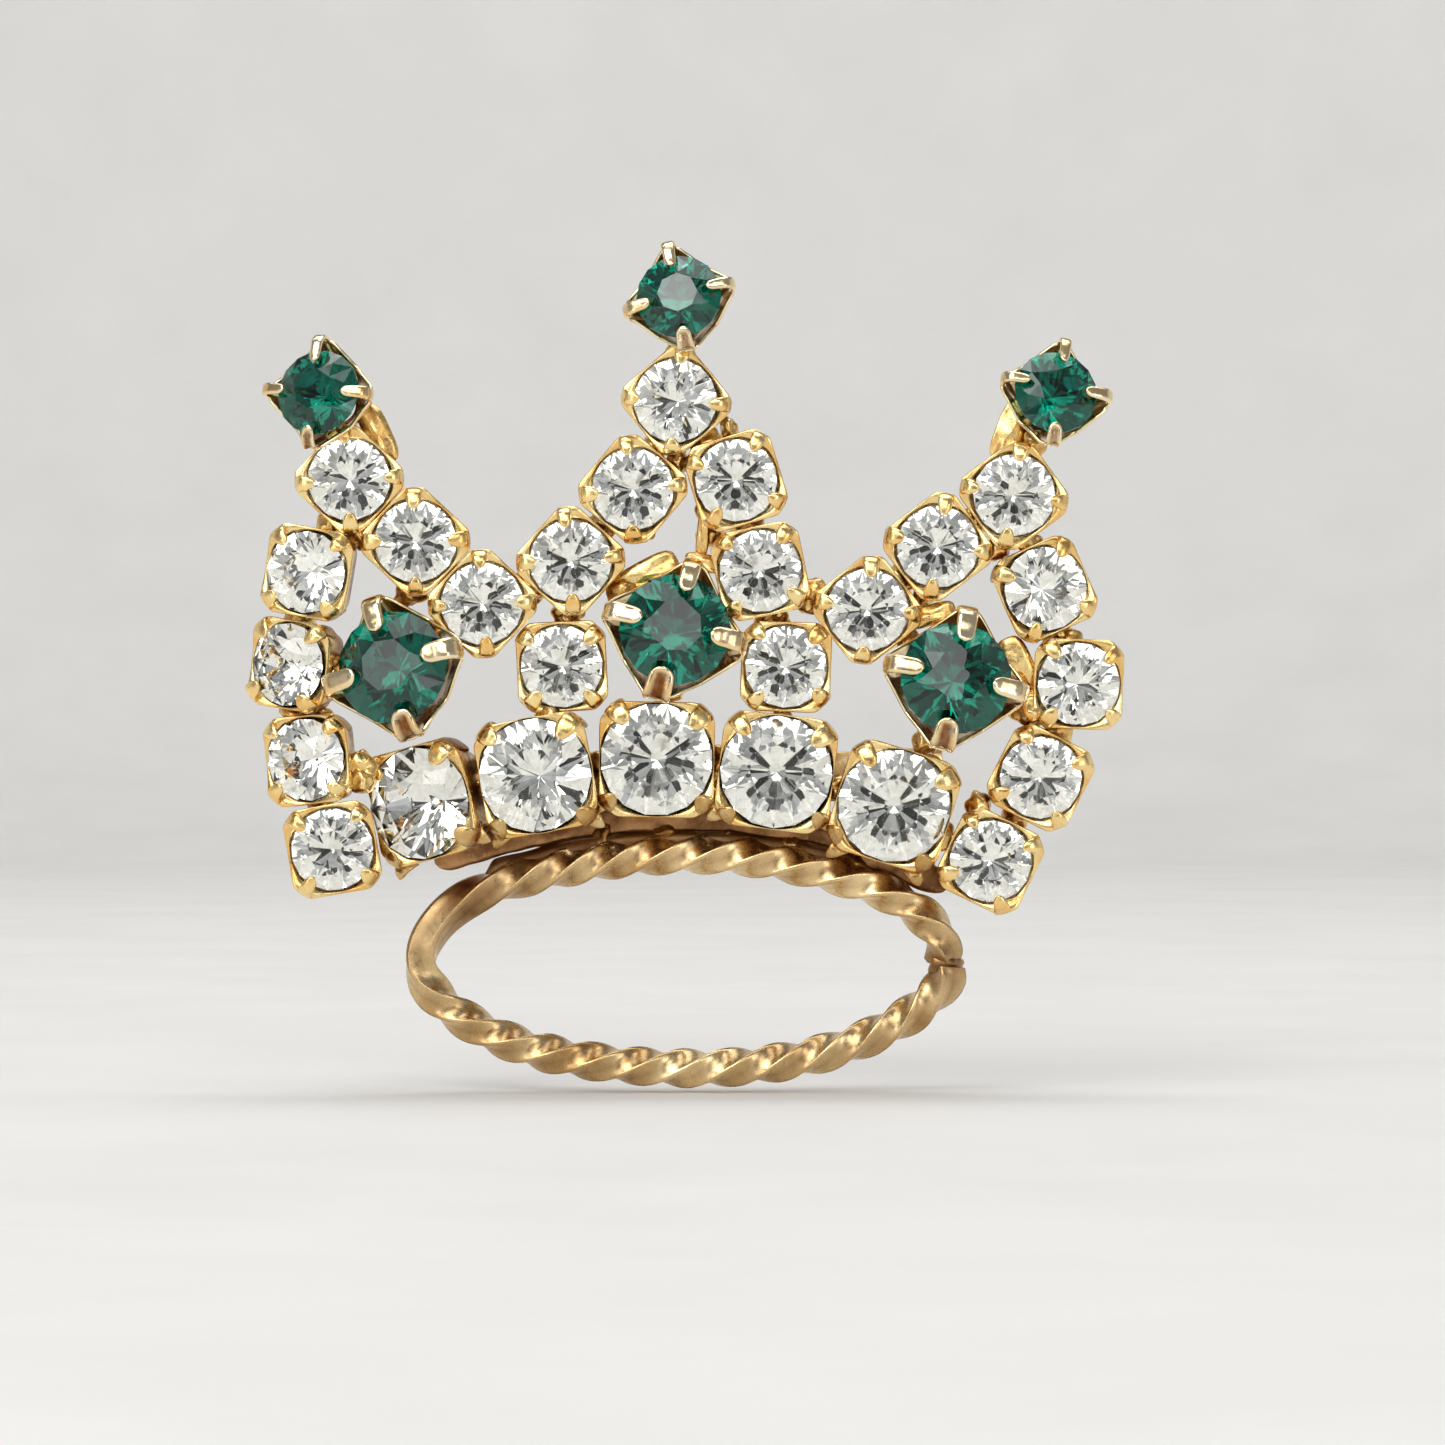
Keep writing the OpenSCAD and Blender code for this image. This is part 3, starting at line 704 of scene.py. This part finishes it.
# x, level in front of the back plane, z, radius, painted shade and tarnish of the solder that shows between
# the settings
FLOWS = [(-16.35, 4.3, 11.5, 0.62, 0.3), (-14.0, 4.2, 8.7, 0.66, 0.45), (0.25, 4.0, 11.6, 0.5, 0.3),
         (0.2, 3.9, 12.7, 0.45, 0.5), (-16.3, 4.2, 0.4, 0.75, 0.15), (-1.15, 4.1, 15.0, 0.6, 0.25),
         (-6.1, 4.0, 8.0, 0.55, 0.5), (-8.0, 4.0, 8.8, 0.5, 0.35), (1.25, 3.9, 16.6, 0.5, 0.3),
         (5.1, 4.1, 8.4, 0.6, 0.3), (-18.3, 3.9, 3.0, 0.5, 0.4), (14.1, 4.2, 10.9, 0.6, 0.25),
         (17.6, 4.1, 6.6, 0.5, 0.35), (15.6, 4.3, 3.2, 0.75, 0.1), (13.2, 4.2, -1.4, 0.7, 0.15),
         (-2.6, 4.2, 11.9, 0.5, 0.6), (10.6, 4.2, 8.6, 0.55, 0.35), (3.6, 3.9, 7.7, 0.5, 0.4)]
# x, level, z, half length, half width, angle, painted shade and tarnish of the bent links of sheet gold
LINKS = [(-2.75, 4.7, 9.6, 1.75, 0.72, 0.5, 0.05), (0.0, 4.8, 10.2, 0.9, 0.45, -0.2, 0.0),
         (-15.5, 4.1, 16.35, 1.5, 0.66, 2.0, 0.1), (14.75, 4.2, 16.5, 1.55, 0.78, 1.2, 0.0),
         (0.1, 4.6, 12.1, 1.7, 0.34, 1.45, 0.2), (10.8, 5.0, 7.7, 1.3, 0.5, 0.3, 0.0),
         (15.0, 4.7, 5.4, 1.35, 0.75, 2.0, 0.1)]
LINK_THICK = 0.16
# x of the solder that holds the pin bar to the base cups
BAR_SOLDER = (-7.6, -2.4, 3.2, 8.2)
# Beads below this z and behind this y hold the strip
STRIP_BEADS_Z, STRIP_BEADS_Y = -1.9, -3.2

solder = Mesh()
solder_rng = random.Random("solder")
for points, triangles in islands("solder_joints"):
    used = points[np.unique(triangles)]
    middle = (used.min(axis=0) + used.max(axis=0)) / 2
    size = (used.max(axis=0) - used.min(axis=0)).min() / 2
    at_strip = middle[2] < STRIP_BEADS_Z and middle[1] > STRIP_BEADS_Y
    size = size * solder_rng.uniform(1.0, 1.25) * (0.8 if at_strip else 1)
    lump(solder, middle, size, solder_rng, 0.95 if at_strip else 0.35)
bar_low, bar_high = (Vector(c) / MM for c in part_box("pin_bar"))
for x in BAR_SOLDER:
    for z in (bar_low.z, bar_high.z):
        lump(solder, (x, bar_low.y + 0.25, z), solder_rng.uniform(0.36, 0.5), solder_rng, 0.3)
for x, level, z, size, tarnish in FLOWS:
    lump(solder, (x, -level, z), size, solder_rng, tarnish)
for x, level, z, long, wide, angle, tarnish in LINKS:
    plate(solder, (x, -level, z), long, wide, angle, LINK_THICK, tarnish)
finish_piece(solder.object("solder_flows", [SOLDER]), ["solder_joints"])


# ---- twisted ring ----

QUARTER_TWIST = 2.2
# Angles round the ring: the wire's two ends, where it was bent and where the crown's shadow is painted on it
WIRE_ENDS = (math.radians(-1.5), math.radians(357.5))
BEND_AT, SHADOW_AT = math.radians(162), math.radians(150)
# The wire's square section, before it is scaled to the ring's thickness
HALF_SIDE, CORNER = 0.655, 0.9
# The solder seam between ring and strip, in degrees round the ring
SEAM_FROM, SEAM_SPAN = 46, 92
RING_SHIFT = np.array((-0.15, 0.0, 0.2))


def ring_way(a, rx, rz):
    """Point and outward direction on the ring's ellipse."""
    out = Vector((rz * math.cos(a), 0, rx * math.sin(a))).normalized()
    return Vector((rx * math.cos(a), 0, rz * math.sin(a))), out


def ring_wire(middle, reach, rx, rz):
    """The twisted square wire: points, faces and painted shade mixed with tarnish."""
    steps, around = 900, 40
    first, last = WIRE_ENDS
    lift = Vector((0, -1, 0))
    points, values, length, before = [], [], 0.0, None
    for i in range(steps + 1):
        f = i / steps
        a = first + (last - first) * f
        c, out = ring_way(a, rx, rz)
        if before is not None:
            # the wire is hardly twisted where it was bent at the upper left
            slack = math.exp(-((a - BEND_AT) / 0.42) ** 2)
            uneven = 1 + 0.12 * noise.noise(Vector((a * 2.3, 5, 0)))
            length += (c - before).length * (1 - 0.8 * slack) * uneven
        before = c.copy()
        ends = min(f, 1 - f) * (last - first) * rz
        c += out * (0.16 * noise.noise(Vector((math.cos(a) * 1.7, math.sin(a) * 1.7, 3))))
        # the two ends pass each other at the joint
        if f < 0.5:
            c += (out * -0.18 + lift * -0.12) * smoothstep(1 - ends / 1.6)
        else:
            c += (out * 0.2 + lift * 0.2) * smoothstep(1 - ends / 1.8)
        twist = math.pi / 2 * length / QUARTER_TWIST + 0.5
        shrink = 1 - 0.16 * smoothstep(1 - ends / 0.5) * (1 if f < 0.5 else 0.4)
        for j in range(around):
            b = 2 * math.pi * j / around
            k = from_side(b) / (math.pi / 4)
            side = min(HALF_SIDE / math.cos(k * math.pi / 4), CORNER)
            radius = reach * side / CORNER * shrink
            radius *= 1 + 0.02 * noise.noise(Vector((length * 0.9, b * 0.6, 7)))
            turned = b + twist
            p = c + out * radius * math.cos(turned) + lift * radius * math.sin(turned)
            points.append(middle + np.array(p))
            # Painted shade: browner in the grooves of the twist, on the back, under the crown's painted
            # shadow at the upper left, and near the wire's ends.
            groove_shade = (1 - k) ** 2 * 0.3
            back = 0.5 * max(-math.sin(turned), 0)
            dark = 0.55 * math.exp(-((a - SHADOW_AT) / 0.5) ** 2) + 0.5 * math.exp(-(ends / 1.4) ** 2)
            values.append(min(groove_shade + back + dark, 1.0))
    return points, tube_faces(steps + 1, around, inward=True), values


def ring_seam(middle, rx, rz):
    """Solder run between the ring's top and the strip: points, faces and painted shade mixed with tarnish.
    """
    steps, around = 220, 16
    points = []
    for i in range(steps + 1):
        way, out = ring_way(math.radians(SEAM_FROM + SEAM_SPAN * i / steps), rx, rz)
        c = Vector(middle) + way + Vector((0, 0.35, 0)) + out * 0.72
        end = smoothstep(min(i, steps - i) / 12)
        for j in range(around):
            b = 2 * math.pi * j / around
            k = 0.4 * (0.1 + 0.9 * end) * (1 + 0.3 * noise.noise(Vector((i * 0.04, 2.0, 4))))
            points.append(c + out * k * 1.3 * math.cos(b) + Vector((0, -1, 0)) * k * math.sin(b))
    return points, tube_faces(steps + 1, around), 0.95


def ring_piece():
    low, high = (np.array(c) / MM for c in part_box("twisted_ring"))
    middle = (low + high) / 2 + RING_SHIFT
    reach = (high[1] - low[1]) / 2
    rx, rz = (high[0] - low[0]) / 2 - reach, (high[2] - low[2]) / 2 - reach
    mesh = Mesh()
    mesh.add(*ring_wire(middle, reach, rx, rz))
    # solder over the joint of the wire's two ends
    lump(mesh, middle + np.array((rx - 0.1, 0.1, -0.35)), 0.7, random.Random("ring"), 0.75)
    mesh.add(*ring_seam(middle, rx, rz))
    finish_piece(mesh.object("twisted_wire_ring", [AGED_WIRE]), ["twisted_ring"])


ring_piece()


# ---- strip ----

LEFT_END_SPARE = 0.06    # how far the strip runs on past the CAD strip's left end, in radians
STRIP_TARNISH = 0.4


def circle_middle(x, z):
    """Middle of the circle that fits the points best."""
    sides = np.column_stack([2 * x, 2 * z, np.ones(len(x))])
    return np.linalg.lstsq(sides, x ** 2 + z ** 2, rcond=None)[0][:2]


def strip_piece():
    points, _ = node_arrays("backing_strip")
    ax, az = points[:, 0], points[:, 2]
    cx, cz = circle_middle(ax, az)
    for _ in range(30):
        away = np.hypot(ax - cx, az - cz)
        edge = away > (away.min() + away.max()) / 2
        cx, cz = circle_middle(ax[edge], az[edge])
    away = np.hypot(ax - cx, az - cz)
    inner, outer = away.min(), away.max()
    angles = np.arctan2(az - cz, ax - cx)
    y0, y1 = points[:, 1].min(), points[:, 1].max()
    steps, section = 260, 28
    made = []
    for i in range(steps + 1):
        f = i / steps
        a = angles.min() + (angles.max() + LEFT_END_SPARE - angles.min()) * f
        end = min(f, 1 - f) * steps / 14
        half = (outer - inner) / 2 * (math.sqrt(max(1 - (1 - min(end, 1)) ** 2, 0.0)) * 0.9 + 0.1)
        for j in range(section):
            b = 2 * math.pi * j / section
            c, s = math.cos(b), math.sin(b)
            e = rounded(c, s, 7)
            r = (inner + outer) / 2 + half * c * e * (1 + 0.1 * noise.noise(Vector((f * 26, c * 2, 1))))
            y = (y0 + y1) / 2 + (y1 - y0) / 2 * s * e * (1 + 0.12 * noise.noise(Vector((f * 34, b, 9))))
            made.append((cx + r * math.cos(a), y, cz + r * math.sin(a)))
    mesh = Mesh()
    mesh.add(made, tube_faces(steps + 1, section), STRIP_TARNISH)
    finish_piece(mesh.object("curved_strip", [COPPER]), ["backing_strip"])


strip_piece()


# ---- pin back: the CAD shapes with their edges eased ----

def eased(node, name, material, body, width):
    """Makes a piece of the pin back from its CAD node, its edges bevelled by width mm."""
    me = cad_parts[node].data.copy()
    me.name = name
    o = bpy.data.objects.new(name, me)
    bpy.context.scene.collection.objects.link(o)
    me.materials.clear()
    me.materials.append(material)
    bm = bmesh.new()
    bm.from_mesh(me)
    bmesh.ops.remove_doubles(bm, verts=bm.verts, dist=2e-7)
    bmesh.ops.dissolve_limit(bm, angle_limit=math.radians(1.5), verts=bm.verts, edges=bm.edges)
    bm.to_mesh(me)
    bm.free()
    me.polygons.foreach_set("use_smooth", [True] * len(me.polygons))
    bevel = o.modifiers.new("edges", "BEVEL")
    bevel.width, bevel.segments = width * MM, 3
    bevel.limit_method, bevel.angle_limit = "ANGLE", math.radians(40)
    bevel.harden_normals = True
    me.polygons.foreach_set("material_index", [0] * len(me.polygons))
    # Painted shade: the pin back browner towards the side that faces the crown.
    values = me.attributes.new("tarnish", "FLOAT", "POINT")
    low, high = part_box(node)
    span = max(high[1] - low[1], 1e-6)
    values.data.foreach_set("value", [0.1 + 0.4 * (high[1] - v.co.y) / span for v in me.vertices])
    finish_piece(o, [node], body)


eased("pin_bar", "pin_bar_plate", BACK_GOLD, FIXED, 0.12)
eased("hinge_bracket", "hinge_bracket_ears", BACK_GOLD, FIXED, 0.06)
eased("hinge_rivet", "hinge_rivet_heads", BACK_GOLD, FIXED, 0.08)
eased("catch_housing", "catch_housing_shell", BACK_GOLD, FIXED, 0.06)
eased("safety_barrel", "safety_barrel_tab", BACK_GOLD, "catch_lock", 0.06)
eased("pin_stem", "pin_stem_wire", STEEL, "pin_arm", 0.05)


# ---- stage, light and camera ----

def stage():
    """A pale floor that curves up into a wall behind and beside the object."""
    floor_z = cad_box[0].z / MM - 0.05
    radius, bend, top = 560.0, 160.0, 420.0
    profile = [(x, 0.0) for x in (0.0, 60.0, 150.0, 280.0)]
    profile += [(radius - bend + bend * math.sin(t), bend - bend * math.cos(t))
                for t in np.linspace(0, math.pi / 2, 24)]
    profile += [(radius, top)]
    count = 160
    mesh = Mesh()
    points = []
    for r, z in profile:
        for j in range(count):
            a = 2 * math.pi * j / count
            open_front = smoothstep((-math.sin(a) - 0.15) / 0.35)
            r_here = r * (1 + 1.6 * open_front)
            points.append((r_here * math.cos(a), r_here * math.sin(a), floor_z + z * (1 - open_front)))
    mesh.add(points, grid_faces(len(profile), count, False, True))
    m = Nodes("pale_floor")
    speck = m.noise(60, 4)
    m.set(Base_Color=m.blend(m.span(speck, 0.3, 0.7, 0, 1), rgb(0.8, 0.79, 0.77), rgb(0.76, 0.75, 0.73)),
          Roughness=0.85)
    o = mesh.object("floor", [m.material])


def softbox(name, at, aim, width, height, power, colour=(1, 1, 1)):
    light = bpy.data.lights.new(name, "AREA")
    light.shape, light.size, light.size_y = "RECTANGLE", width, height
    light.energy, light.color = power, colour
    o = bpy.data.objects.new(name, light)
    bpy.context.scene.collection.objects.link(o)
    o.visible_camera = False
    o.location = at
    o.rotation_euler = (Vector(aim) - Vector(at)).to_track_quat("-Z", "Y").to_euler()


def card():
    """A dark cloth behind the camera, so the facets and the gold have something dark to mirror."""
    # sizes in mm; bow brings its sides nearer to the object than its middle
    width, height, behind, drop, bow = 160, 100, 430, 10, 0.0016
    mesh = Mesh()
    columns, rows = 14, 10
    points = []
    for i in range(rows):
        for j in range(columns):
            x, z = width * (j / (columns - 1) - 0.5), height * (i / (rows - 1) - 0.5)
            points.append((x, bow * x * x - behind, z - drop))
    mesh.add(points, grid_faces(rows, columns, False, False))
    m = Nodes("dark_cloth")
    weave = m.noise(300, 3)
    m.set(Base_Color=m.blend(m.span(weave, 0.4, 0.6, 0, 1), rgb(0.02, 0.02, 0.022), rgb(0.035, 0.033, 0.03)),
          Roughness=0.95)
    o = mesh.object("dark_cloth", [m.material])
    o.visible_camera = o.visible_shadow = o.visible_diffuse = False


stage()
card()
softbox("key", (-0.2, -0.34, 0.32), (0, 0, 0), 0.26, 0.2, 0.7, (1.0, 0.98, 0.95))
softbox("over_camera", (-0.03, -0.4, 0.2), (0, 0, 0), 0.32, 0.13, 0.32)
softbox("right_panel", (0.21, -0.36, 0.04), (0, 0, 0), 0.1, 0.2, 0.14, (0.94, 0.97, 1.0))
softbox("left_panel", (-0.23, -0.34, 0.05), (0, 0, 0), 0.07, 0.2, 0.1)
softbox("top", (0.02, 0.0, 0.5), (0, 0, 0), 0.5, 0.4, 1.2)
softbox("wall", (0, 0.05, 0.45), (0, 0.56, 0.05), 0.6, 0.15, 0.7)

FRAME_WIDTH = 68.6 * MM    # what the picture shows from side to side, at the stones
DISTANCE = 0.25
STONE_LEVEL = 5.5 * MM     # how far the stones stand in front of the origin


def studio_world():
    """Soft blue-grey light from all round, brighter up to the horizon and dimmer above it."""
    world = bpy.data.worlds.new("studio")
    bpy.context.scene.world = world
    world.use_nodes = True
    tree = world.node_tree
    background = tree.nodes["Background"]
    background.inputs["Color"].default_value = rgb(0.8, 0.82, 0.85)
    way = tree.nodes.new("ShaderNodeTexCoord")
    height = tree.nodes.new("ShaderNodeSeparateXYZ")
    fade = tree.nodes.new("ShaderNodeMapRange")
    for key, number in zip(("From Min", "From Max", "To Min", "To Max"), (0.05, 0.28, 0.68, 0.31)):
        fade.inputs[key].default_value = number
    tree.links.new(way.outputs["Generated"], height.inputs[0])
    tree.links.new(height.outputs["Z"], fade.inputs["Value"])
    tree.links.new(fade.outputs["Result"], background.inputs["Strength"])


def front_camera():
    """Looks level at the crown's face."""
    camera = bpy.data.cameras.new("camera")
    camera.sensor_width = 36
    camera.lens = camera.sensor_width * (DISTANCE - STONE_LEVEL) / FRAME_WIDTH
    camera.clip_start, camera.clip_end = 0.01, 10
    view = bpy.data.objects.new("camera", camera)
    bpy.context.scene.collection.objects.link(view)
    view.location = (0.95 * MM, -DISTANCE, 2.6 * MM)
    view.rotation_euler = (math.pi / 2, 0, 0)
    bpy.context.scene.camera = view


studio_world()
front_camera()
bpy.context.scene.view_settings.view_transform = "Standard"
